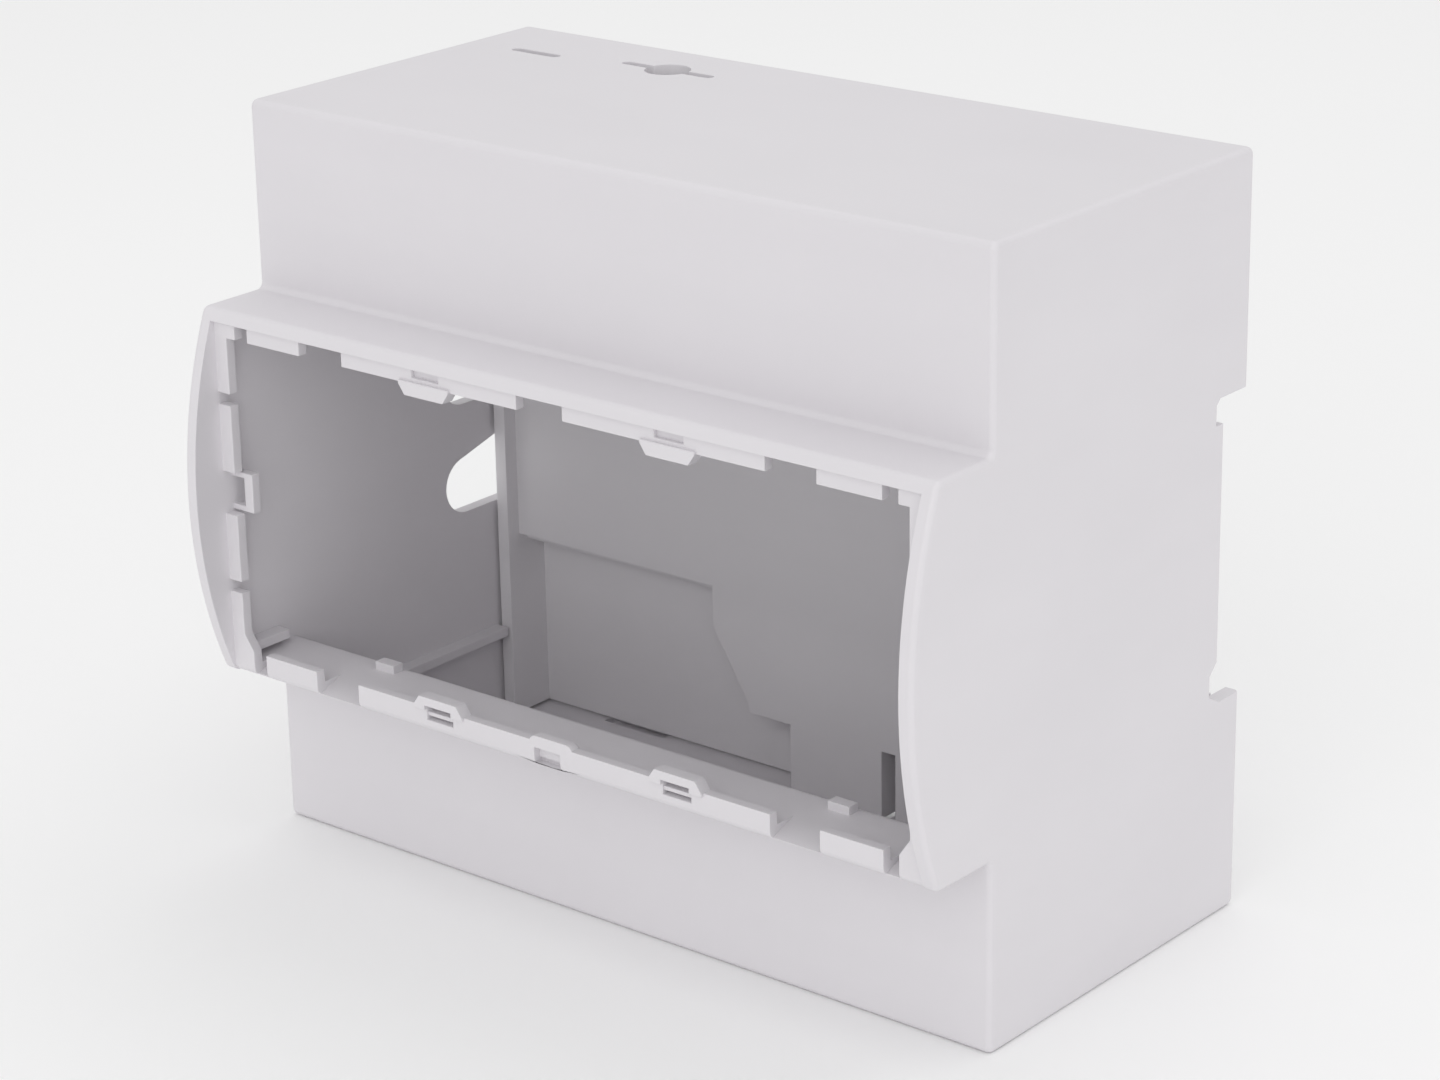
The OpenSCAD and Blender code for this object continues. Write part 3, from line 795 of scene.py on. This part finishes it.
@dataclass
class PanelLedge(HousingSizes):
    """The ledge round the front opening, with its snap tabs, loops, arch and ramps, in millimetres."""

    # The ledge with its gaps, its end slits and the notches in its sides
    back: float = -25.2
    low_rise: float = 1.6
    high_drop: float = 1.9
    side_in: float = 1.9
    corner_in: float = 3.3
    gusset: float = 2.0
    slit: float = 2.0
    outer_gap: Span = (30.55, 37.25)
    middle_gap: Span = (-4.0, 2.6)
    notch: Span = (10.9, 12.3)
    loop_gap: float = 2.6
    # The snap tabs, the lower ones with a window and a catch bar, the upper ones with a recess
    tab_x: float = 17.6
    tab_half: float = 3.8
    tab_rise: float = 1.3
    tab_lead: float = 0.9
    tab_proud: float = 0.4
    window_half: float = 2.0
    low_window: float = 1.8
    catch_z: Span = (0.4, 0.9)
    catch_in: float = 0.3
    high_recess: float = 1.1
    high_recess_depth: float = 0.5
    # The loops on the side walls
    loop_in: float = 3.4
    loop_bar: float = 1.4
    loop_arm: float = 0.7
    loop_half: float = 2.4
    loop_depth: float = 1.2
    # The arch in the lower middle gap, its hollow and the slot under the hollow
    arch_rise: float = 2.2
    arch_lap: float = 0.65
    slot_start: float = 0.8
    slot_width: float = 3.8
    slot_rise: float = 0.8
    slot_web: float = 0.3
    hollow_rise: float = 0.7
    hollow_depth: float = 0.9
    # The ramps in the lower lip, from their foot at its edge to where they meet the floor
    ramp_foot: Point = (-26.066, 22.698)
    ramp_back: float = -22.5
    # How far a cutting shape goes past what it cuts
    past: float = 1.0

    @property
    def depth(self) -> Span:
        """Where the front and the back of the ledge are."""
        return self.lip, self.back

    @property
    def low_edge(self) -> float:
        """How high the edge of the lower ledge is."""
        return self.floor + self.low_rise

    @property
    def high_edge(self) -> float:
        """How high the edge of the upper ledge is."""
        return self.ceiling - self.high_drop

    @property
    def slit_x(self) -> Span:
        """Where an end slit starts and ends, from the middle plane."""
        end = self.wall_x - self.corner_in
        return end - self.slit, end

    @property
    def window_x(self) -> Span:
        """Where a tab's window or recess starts and ends, from the middle plane."""
        return self.tab_x - self.window_half, self.tab_x + self.window_half

    def tools(self) -> list[bpy.types.Object]:
        """Models everything that is joined to the shell round its opening.

        Returns:
            The shapes to join.
        """
        pieces = self.runs() + [self.arch()]
        for side in Side:
            pieces += self.corners(side) + self.side_bars(side) + self.tabs(side) + [self.loop(side)]
        return pieces

    def ramps(self) -> list[bpy.types.Object]:
        """Models the ramps that lead down to the lower lip's edge, in each outer gap and end slit.

        Returns:
            The shapes to cut out of the shell.
        """
        ahead = self.lip - self.past
        above = self.floor + self.past
        foot_y, foot_z = self.ramp_foot
        slope = (self.floor - foot_z) / (self.ramp_back - foot_y)
        outline = [
            (ahead, foot_z - slope * (foot_y - ahead)),
            (self.ramp_back + self.past / slope, above),
            (ahead, above),
        ]
        places = (self.outer_gap, self.slit_x)
        return [prism(outline, Axis.X, side.span(*across)) for side in Side for across in places]

    def hollows(self) -> list[bpy.types.Object]:
        """Models the arch's hollow with its slot, and the shallow recesses of the upper tabs.

        Returns:
            The shapes to cut out of the joined ledge.
        """
        ahead = self.lip - self.past
        sill = self.nose_low + self.slot_web
        step = self.nose_low + self.slot_rise
        top = self.floor + self.hollow_rise
        deep = self.lip + self.hollow_depth
        outline = [
            (ahead, sill),
            (self.back, sill),
            (self.back, step),
            (deep, step),
            (deep, top),
            (ahead, top),
        ]
        start = self.middle_gap[0] + self.slot_start
        found = [prism(outline, Axis.X, (start, start + self.slot_width))]
        recess_y = (ahead, self.lip + self.high_recess_depth)
        recess_z = (self.ceiling - self.high_recess, self.ceiling)
        return found + [slab(side.span(*self.window_x), recess_y, recess_z) for side in Side]

    def runs(self) -> list[bpy.types.Object]:
        """Models the straight runs of the lower and upper ledge between their gaps.

        Returns:
            The runs of both sides.
        """
        low_z = (self.floor - self.bite, self.low_edge)
        high_z = (self.high_edge, self.ceiling + self.bite)
        gap_start, gap_end = self.outer_gap
        window_start, window_end = self.window_x
        last = (gap_end, self.slit_x[0])
        found = []
        for side, start in ((Side.LEFT, -self.middle_gap[0]), (Side.RIGHT, self.middle_gap[1])):
            low = ((start - self.arch_lap, window_start), (window_end, gap_start), last)
            high = ((start, gap_start), last)
            found += [slab(side.span(*across), self.depth, low_z) for across in low]
            found += [slab(side.span(*across), self.depth, high_z) for across in high]
        return found

    def corners(self, side: Side) -> list[bpy.types.Object]:
        """Models the ledge's two corners on one side, the lower one with its gusset.

        Args:
            side: The side.

        Returns:
            The lower and the upper corner.
        """
        root = self.wall_x + self.bite
        edge = self.wall_x - self.side_in
        end = self.slit_x[1]
        low = [
            (root, self.floor - self.bite),
            (end, self.floor - self.bite),
            (end, self.low_edge),
            (edge, self.low_edge + self.gusset),
            (edge, self.middle - self.notch[1]),
            (root, self.middle - self.notch[1]),
        ]
        high = [
            (root, self.ceiling + self.bite),
            (end, self.ceiling + self.bite),
            (end, self.high_edge),
            (edge, self.high_edge),
            (edge, self.middle + self.notch[1]),
            (root, self.middle + self.notch[1]),
        ]
        placed = [[(side.value * x, z) for x, z in outline] for outline in (low, high)]
        return [prism(outline, Axis.Y, self.depth) for outline in placed]

    def side_bars(self, side: Side) -> list[bpy.types.Object]:
        """Models the short bars of the side ledge below and above the loop.

        Args:
            side: The side.

        Returns:
            The lower and the upper bar.
        """
        across = side.span(self.wall_x - self.side_in, self.wall_x + self.bite)
        below = (self.middle - self.notch[0], self.middle - self.loop_gap)
        above = (self.middle + self.loop_gap, self.middle + self.notch[0])
        return [slab(across, self.depth, tall) for tall in (below, above)]

    def tabs(self, side: Side) -> list[bpy.types.Object]:
        """Models a lower and an upper snap tab, and the catch bar in the lower one's window.

        Args:
            side: The side.

        Returns:
            The two tabs and the bar.
        """
        low_root = self.low_edge - self.bite
        low_crown = self.low_edge + self.tab_rise
        high_root = self.high_edge + self.bite
        high_crown = self.high_edge - self.tab_rise
        crown = self.tab_half - self.tab_lead
        sill = self.floor + self.low_window
        low = [
            (-self.tab_half, low_root),
            (-self.window_half, low_root),
            (-self.window_half, sill),
            (self.window_half, sill),
            (self.window_half, low_root),
            (self.tab_half, low_root),
            (self.tab_half, self.low_edge),
            (crown, low_crown),
            (-crown, low_crown),
            (-self.tab_half, self.low_edge),
        ]
        high = [
            (-self.tab_half, high_root),
            (self.tab_half, high_root),
            (self.tab_half, self.high_edge),
            (crown, high_crown),
            (-crown, high_crown),
            (-self.tab_half, self.high_edge),
        ]
        middle_x = side.value * self.tab_x
        placed = [[(middle_x + x, z) for x, z in outline] for outline in (low, high)]
        found = [prism(outline, Axis.Y, (self.lip - self.tab_proud, self.back)) for outline in placed]
        reach = self.window_half + self.bite
        catch = slab(
            (middle_x - reach, middle_x + reach),
            (self.lip + self.catch_in, self.back),
            (self.floor + self.catch_z[0], self.floor + self.catch_z[1]),
        )
        return found + [catch]

    def loop(self, side: Side) -> bpy.types.Object:
        """Models the loop on a side wall, behind the gap in the side ledge.

        Args:
            side: The side.

        Returns:
            The loop.
        """
        root = self.wall_x + self.bite
        tip = self.wall_x - self.loop_in
        bar = tip + self.loop_bar
        arm = self.loop_half - self.loop_arm
        outline = [
            (root, -self.loop_half),
            (tip, -self.loop_half),
            (tip, self.loop_half),
            (root, self.loop_half),
            (root, arm),
            (bar, arm),
            (bar, -arm),
            (root, -arm),
        ]
        placed = [(side.value * x, self.middle + z) for x, z in outline]
        return prism(placed, Axis.Y, (self.back, self.back + self.loop_depth))

    def arch(self) -> bpy.types.Object:
        """Models the round-topped bar in the lower ledge's middle gap.

        Returns:
            The arch, still solid.
        """
        left, right = self.middle_gap
        root = self.floor - self.bite
        bend = self.arch_rise / 2
        outline = [(left, root)]
        outline += arc((left + bend, self.floor + bend), bend, 180.0, 90.0, ROUND_STEPS)
        outline += arc((right - bend, self.floor + bend), bend, 90.0, 0.0, ROUND_STEPS)
        outline += [(right, root)]
        return prism(outline, Axis.Y, self.depth)


@dataclass
class InnerRibs(HousingSizes):
    """The ribs on the side walls and the stops on the nose's floor, in millimetres."""

    rib_in: float = 1.9
    long_rib_back: float = 19.1
    long_rib_z: Span = (13.1, 14.3)
    short_rib_y: Span = (-25.6, -19.2)
    short_rib_z: Span = (24.8, 26.0)
    stop_x: Span = (32.3, 35.3)
    stop_front: float = -18.8
    stop_top: float = 25.0

    def tools(self) -> list[bpy.types.Object]:
        """Models the ribs and stops of both sides.

        Returns:
            The shapes to join to the shell.
        """
        rib_x = (self.wall_x - self.rib_in, self.wall_x + self.bite)
        boxes = (
            (rib_x, (self.front, self.long_rib_back), self.long_rib_z),
            (rib_x, self.short_rib_y, self.short_rib_z),
            (self.stop_x, (self.stop_front, self.front), (self.floor - self.bite, self.stop_top)),
        )
        return [slab(side.span(*across), deep, tall) for across, deep, tall in boxes for side in Side]


class TopSlot(NamedTuple):
    """A slot in the top, by its middle and its length in millimetres."""

    x: float
    y: float
    length: float


@dataclass
class Openings(HousingSizes):
    """The rail's notch, the slots, the cable holes and the pockets, in millimetres."""

    # The notch for the rail: its opening, its seat, and the reliefs above and below the seat
    rail_z: Span = (26.6, 62.8)
    seat_z: Span = (31.6, 59.8)
    seat_y: float = 26.1
    relief_y: float = 24.7
    relief_low: float = 3.6
    lead_in: Point = (2.0, 1.1)
    chamfer: float = 0.7
    # The slots in the top and the round hole in the longer one
    slot_half: float = 0.65
    short_slot: TopSlot = TopSlot(x=-41.7, y=20.0, length=7.4)
    long_slot: TopSlot = TopSlot(x=-22.8, y=22.2, length=13.8)
    hole_round: float = 2.75
    # The cable holes in the left wall
    cable_y: float = 10.8
    cable_z: Span = (34.6, 48.8)
    cable_round: float = 3.6
    cable_length: float = 11.5
    cable_slope: float = 15.0
    # The pockets of the base's lugs and the way to the latch
    pocket_x: Span = (29.1, 38.9)
    pocket_y: Span = (25.7, 28.9)
    pocket_low: Span = (0.9, 2.2)
    pocket_high: Span = (87.8, 89.1)
    access_x: Span = (-5.0, 9.0)
    access_y: float = 21.5
    # How far a cutting shape goes past what it cuts
    past: float = 1.0

    def tools(self) -> list[bpy.types.Object]:
        """Models everything that is cut out of the shell."""
        return [self.rail_notch(), *self.slots(), *self.cable_holes(), *self.pockets()]

    def rail_notch(self) -> bpy.types.Object:
        """Models the rail's seat, through both side walls and open to the rear.

        Returns:
            The notch as a solid.
        """
        low, high = self.rail_z
        seat_low, seat_high = self.seat_z
        behind = self.rear + self.past
        beside = self.half + self.past
        outline = [
            (behind, low),
            (self.relief_y + self.lead_in[0], low),
            (self.relief_y, low + self.lead_in[1]),
            (self.relief_y, low + self.relief_low),
            (self.seat_y, seat_low),
            (self.seat_y, seat_high),
            (self.relief_y, seat_high),
            (self.relief_y, high - self.chamfer),
            (self.relief_y + self.chamfer, high),
            (behind, high),
        ]
        return prism(outline, Axis.X, (-beside, beside))

    def slots(self) -> list[bpy.types.Object]:
        """Models the two slots in the top, the longer one with a round hole in its middle.

        Returns:
            The slots and the hole as solids.
        """
        tall = (self.height - self.wall - self.past, self.height + self.past)
        found = []
        for x, y, length in (self.short_slot, self.long_slot):
            reach = length / 2 - self.slot_half
            outline = arc((x + reach, y), self.slot_half, -90.0, 90.0, ROUND_STEPS)
            outline += arc((x - reach, y), self.slot_half, 90.0, 270.0, ROUND_STEPS)
            found.append(prism(outline, Axis.Z, tall))
        centre = (self.long_slot.x, self.long_slot.y)
        ring = arc(centre, self.hole_round, 0.0, 360.0, HOLE_STEPS)[:-1]
        return found + [prism(ring, Axis.Z, tall)]

    def cable_holes(self) -> list[bpy.types.Object]:
        """Models the two holes in the left wall, round in front and rising to the rear.

        Returns:
            The holes as solids.
        """
        radius = self.cable_round
        slope = math.radians(self.cable_slope)
        rise = (self.cable_length - radius) * math.tan(slope) + radius / math.cos(slope)
        back = self.cable_y + self.cable_length
        found = []
        for z in self.cable_z:
            centre = (self.cable_y + radius, z)
            outline = arc(centre, radius, 90.0 + self.cable_slope, 270.0, HOLE_STEPS // 2)
            outline += [(back, z - radius), (back, z + rise)]
            found.append(prism(outline, Axis.X, (-self.half - self.past, self.past - self.wall_x)))
        return found

    def pockets(self) -> list[bpy.types.Object]:
        """Models the pockets of the base's snap lugs and the way to the latch through the bottom.

        Returns:
            The pockets and the way as solids.
        """
        heights = (self.pocket_low, self.pocket_high)
        found = [slab(side.span(*self.pocket_x), self.pocket_y, tall) for tall in heights for side in Side]
        deep = (self.access_y, self.rear + self.past)
        return found + [slab(self.access_x, deep, (-self.past, self.wall + self.past))]


class Flank(NamedTuple):
    """A face beside an edge, by its normal and the direction from the edge into the face."""

    normal: Vector
    inward: Vector


@dataclass
class Moulding:
    """One moulded piece with soft edges and a plastic finish, made from a copy of its solid."""

    node: str
    body: str
    finish: MouldedPlastic
    cuts: dict[Axis, tuple[float, ...]]
    edge_round: float = 0.12
    edge_steps: int = 2

    def build(self, groups: EffectGroups) -> bpy.types.Object:
        """Models, softens and dresses the piece.

        Args:
            groups: The shared effects of the finishes.

        Returns:
            The finished piece, riding on its body.
        """
        piece = self.model()
        piece.name = f"{self.node}_moulding"
        piece.data.name = piece.name
        self.join_faces(piece)
        self.soften(piece)
        piece.data.materials.append(self.finish.material(groups))
        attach(piece, self.body)
        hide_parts(self.node)
        return piece

    def model(self) -> bpy.types.Object:
        """Copies the solid's mesh and merges its loose triangles.

        Returns:
            The copy.
        """
        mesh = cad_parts[self.node].data.copy()
        mesh.materials.clear()
        piece = bpy.data.objects.new(self.node, mesh)
        bpy.context.scene.collection.objects.link(piece)
        take_up(piece)
        bpy.ops.object.mode_set(mode="EDIT")
        bpy.ops.mesh.select_all(action="SELECT")
        bpy.ops.mesh.remove_doubles(threshold=MERGE_GAP)
        bpy.ops.mesh.customdata_custom_splitnormals_clear()
        bpy.ops.object.mode_set(mode="OBJECT")
        return piece

    def join_faces(self, piece: bpy.types.Object) -> None:
        """Joins coplanar faces, with cuts through every hole so that no face has a hole in it.

        Args:
            piece: The modelled piece.
        """
        take_up(piece)
        bpy.ops.object.mode_set(mode="EDIT")
        bpy.ops.mesh.select_mode(type="VERT")
        for axis, places in self.cuts.items():
            for place in places:
                bpy.ops.mesh.select_all(action="SELECT")
                bpy.ops.mesh.bisect(
                    plane_co=axis.vector * place * MM, plane_no=axis.vector, threshold=MERGE_GAP
                )
                bpy.ops.mesh.mark_seam()
        bpy.ops.mesh.select_all(action="SELECT")
        bpy.ops.mesh.dissolve_limited(angle_limit=FLAT_ANGLE, delimit={"SEAM"})
        bpy.ops.object.mode_set(mode="OBJECT")

    def soften(self, piece: bpy.types.Object) -> None:
        """Rounds the outward edges as a mould does and smooths the shading.

        Args:
            piece: The piece with joined faces.
        """
        deselect(piece, Element.EDGE)
        corners = piece.data.vertices
        flanks = self.find_flanks(piece.data)
        for edge in piece.data.edges:
            ends = [corners[k].co / MM for k in edge.vertices]
            edge.select = self.is_ridge(*flanks[edge.key]) and not self.stays_sharp(*ends)
        bpy.ops.object.mode_set(mode="EDIT")
        bpy.ops.mesh.bevel(
            offset=self.edge_round * MM,
            segments=self.edge_steps,
            affect="EDGES",
            clamp_overlap=False,
            miter_outer="ARC",
        )
        bpy.ops.object.mode_set(mode="OBJECT")
        bpy.ops.object.shade_smooth_by_angle(angle=CREASE_ANGLE)
        normals = piece.modifiers.new("flat_faces", "WEIGHTED_NORMAL")
        normals.keep_sharp = True
        bpy.ops.object.modifier_apply(modifier=normals.name)

    @staticmethod
    def find_flanks(mesh: bpy.types.Mesh) -> dict[tuple[int, ...], list[Flank]]:
        """Finds the faces beside every edge.

        Args:
            mesh: The piece's mesh.

        Returns:
            The flanks of each edge, by the numbers of its two corners, the lower one first.
        """
        found: dict[tuple[int, ...], list[Flank]] = {}
        for face in mesh.polygons:
            ring = list(face.vertices)
            for start, end in zip(ring, ring[1:] + ring[:1]):
                inward = face.normal.cross(mesh.vertices[end].co - mesh.vertices[start].co)
                found.setdefault(tuple(sorted((start, end))), []).append(Flank(face.normal, inward))
        return found

    @staticmethod
    def is_ridge(one: Flank, other: Flank) -> bool:
        """Tells whether two faces meet in a sharp outward edge."""
        return one.normal.angle(other.normal) > CREASE_ANGLE and one.normal.dot(other.inward) < 0

    def stays_sharp(self, one: Vector, other: Vector) -> bool:
        """Tells from an edge's two ends, in millimetres, whether it is left as it is."""
        return False


@dataclass
class Housing(Moulding):
    """The one-piece stepped housing with its panel ledge, ribs and openings."""

    foot_end: float = 0.2
    shell: HousingShell = field(default_factory=HousingShell)
    openings: Openings = field(default_factory=Openings)
    ledge: PanelLedge = field(default_factory=PanelLedge)
    ribs: InnerRibs = field(default_factory=InnerRibs)

    def model(self) -> bpy.types.Object:
        """Models the shell, cuts its openings and joins its ledge and ribs.

        Returns:
            The housing with sharp edges.
        """
        piece = self.shell.build()
        combine(piece, self.openings.tools() + self.ledge.ramps(), Join.CARVE)
        combine(piece, self.ledge.tools() + self.ribs.tools(), Join.WELD)
        combine(piece, self.ledge.hollows(), Join.CARVE)
        return piece

    def stays_sharp(self, one: Vector, other: Vector) -> bool:
        """Leaves the thin ends of the cheeks' feet and the floor's edges beside the ramps as they are.

        Args:
            one: The edge's first end, in millimetres.
            other: Its second end.

        Returns:
            Whether the edge is one of these.
        """
        foot_y = self.shell.lip + self.foot_end
        ramp_end = self.ledge.ramp_back + CLOSE
        ends = (one, other)
        at_foot = all(near(abs(end.x), self.shell.wall_x) and end.y > foot_y for end in ends)
        at_ramp = all(near(end.z, self.ledge.floor) and end.y < ramp_end for end in ends)
        return at_foot or (at_ramp and near(one.x, other.x))


@dataclass(frozen=True)
class SoftBox:
    """A large soft light that faces the enclosure."""

    name: str
    place: Spot
    width: float
    height: float
    power: float
    aim: Spot = (0.0, 0.0, 0.045)

    def build(self) -> None:
        """Makes the light and turns it to its aim."""
        bpy.ops.object.light_add(type="AREA", location=self.place)
        lamp = bpy.context.object
        lamp.name = self.name
        lamp.data.shape = "RECTANGLE"
        lamp.data.size = self.width
        lamp.data.size_y = self.height
        lamp.data.energy = self.power
        lamp.rotation_euler = (Vector(self.aim) - Vector(self.place)).to_track_quat("-Z", "Y").to_euler()


@dataclass
class Studio:
    """A pale floor, an even white surround and soft boxes."""

    floor_size: float = 6.0
    floor_tone: float = 0.97
    floor_rough: float = 0.8
    mottle: float = 0.01
    mottle_scale: float = 3.0
    surround_tone: Colour = (1.0, 1.0, 1.0)
    surround_power: float = 0.70
    boxes: tuple[SoftBox, ...] = (
        SoftBox("top_box", place=(0.0, 0.25, 1.3), width=1.4, height=1.4, power=3.6),
        SoftBox("right_box", place=(1.25, 0.1, 0.5), width=1.2, height=1.0, power=1.0),
        SoftBox("front_box", place=(0.5, -1.2, 0.72), width=1.4, height=1.2, power=4.8),
    )

    def build(self) -> None:
        """Lays the floor, sets the surround and hangs the lights."""
        self.lay_floor()
        self.set_surround()
        for box in self.boxes:
            box.build()
        bpy.context.scene.view_settings.view_transform = "Standard"

    def lay_floor(self) -> None:
        """Lays the floor that the enclosure stands on."""
        bpy.ops.object.select_all(action="DESELECT")
        bpy.ops.mesh.primitive_plane_add(size=self.floor_size, location=(0.0, 0.0, 0.0))
        floor = bpy.context.object
        floor.name = "floor"
        material, wiring, shader = new_material("pale_floor")
        place = wiring.add("ShaderNodeTexCoord").outputs["Object"]
        mottle = wiring.noise(place, self.mottle_scale, Noise())
        tones = (self.floor_tone - self.mottle, self.floor_tone + self.mottle)
        shade = wiring.spread(mottle, (0.0, 1.0), tones)
        wiring.feed(shader, {"Base Color": shade, "Roughness": self.floor_rough})
        floor.data.materials.append(material)

    def set_surround(self) -> None:
        """Makes the world an even white."""
        world = bpy.data.worlds.new("surround")
        bpy.context.scene.world = world
        world.use_nodes = True
        background = world.node_tree.nodes["Background"]
        light = {"Color": (*self.surround_tone, 1.0), "Strength": self.surround_power}
        Wiring(world.node_tree).feed(background, light)


@dataclass(frozen=True)
class PhotoCamera:
    """The camera at the photograph's viewing angle."""

    place: Spot = (0.27023, -0.32190, 0.19429)
    right: Spot = (0.77258, 0.63467, -0.01760)
    up: Spot = (-0.20313, 0.27333, 0.94023)
    back: Spot = (0.60154, -0.72283, 0.34009)
    lens: float = 97.57
    sensor: float = 36.0
    clip_start: float = 0.01

    def build(self) -> None:
        """Makes the camera and gives it to the scene."""
        bpy.ops.object.camera_add()
        camera = bpy.context.object
        camera.name = "photo_camera"
        camera.data.lens = self.lens
        camera.data.sensor_width = self.sensor
        camera.data.clip_start = self.clip_start
        turn = Matrix((self.right, self.up, self.back)).transposed().to_4x4()
        camera.matrix_world = Matrix.Translation(self.place) @ turn
        bpy.context.scene.camera = camera


HOUSING_FINISH = MouldedPlastic(
    name="housing_plastic",
    light=(0.752, 0.731, 0.758),
    dark=(0.730, 0.709, 0.736),
    smooth=0.40,
    rough=0.48,
)
BASE_FINISH = MouldedPlastic(
    name="base_plastic",
    light=(0.790, 0.773, 0.795),
    dark=(0.768, 0.751, 0.773),
    smooth=0.42,
    rough=0.50,
)
LATCH_FINISH = MouldedPlastic(
    name="latch_plastic",
    light=(0.720, 0.704, 0.726),
    dark=(0.695, 0.680, 0.701),
    smooth=0.44,
    rough=0.52,
)

# Where each moulding's faces are cut, in millimetres: at its holes and lugs, and beside the housing's arch
HOUSING_CUTS = {
    Axis.X: (-41.7, -33.8, -22.8, -17.6, -6.0, -0.7, 4.0, 17.6, 33.8),
    Axis.Y: (16.0,),
    Axis.Z: (45.0,),
}
BASE_CUTS = {Axis.X: (-34.0, -30.0, 2.0, 30.0, 34.0), Axis.Z: (45.0,)}
LATCH_CUTS = {Axis.X: (2.0,)}


def main() -> None:
    """Builds the mouldings, the studio and the camera in order."""
    logging.basicConfig(level=logging.INFO, format="%(name)s: %(message)s")
    groups = EffectGroups()
    mouldings = (
        Housing("housing", "enclosure", HOUSING_FINISH, HOUSING_CUTS),
        Moulding("base", "enclosure", BASE_FINISH, BASE_CUTS),
        Moulding("rail_latch", "latch", LATCH_FINISH, LATCH_CUTS),
    )
    for moulding in mouldings:
        piece = moulding.build(groups)
        LOG.info("%s has %d faces", piece.name, len(piece.data.polygons))
    Studio().build()
    PhotoCamera().build()


if __name__ == "__main__":
    main()
